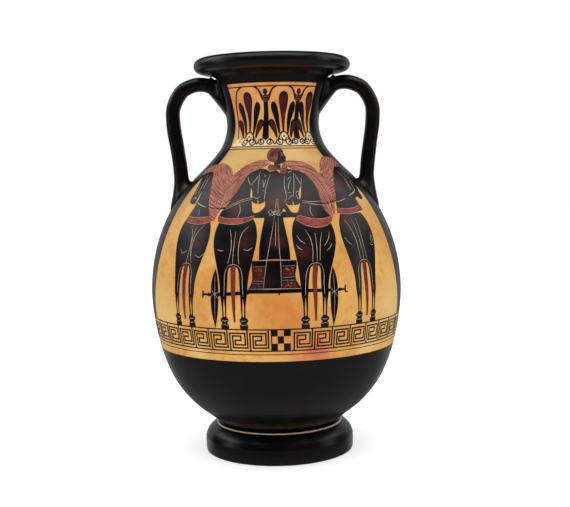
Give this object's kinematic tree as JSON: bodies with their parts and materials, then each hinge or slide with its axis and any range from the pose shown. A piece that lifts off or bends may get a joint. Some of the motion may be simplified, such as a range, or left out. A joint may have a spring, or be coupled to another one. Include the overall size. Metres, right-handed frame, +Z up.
{
  "type": "amphora",
  "caption": "Two-handled clay amphora of the pelike shape, with a sagging belly, a flaring neck, a rounded lip, arched handles and a ring foot, painted in black-figure style.",
  "frame": {"origin": "centre of the circle that the foot stands on", "axes": "+Z up along the jar's axis, -Y the painted front, handles along X"},
  "size_m": [0.1912, 0.1912, 0.3],
  "materials": {
    "slip_black": "satin black slip over fired clay",
    "painted_clay": "burnished ochre clay with painted black figures"
  },
  "bodies": {
    "root": {"foot": "slip_black", "lower_body": "slip_black", "upper_body": "painted_clay", "neck": "painted_clay", "mouth_ring": "slip_black", "right_handle": "slip_black", "right_neck_collar": "slip_black", "right_shoulder_collar": "slip_black", "left_handle": "slip_black", "left_neck_collar": "slip_black", "left_shoulder_collar": "slip_black"}
  },
  "joints": []
}
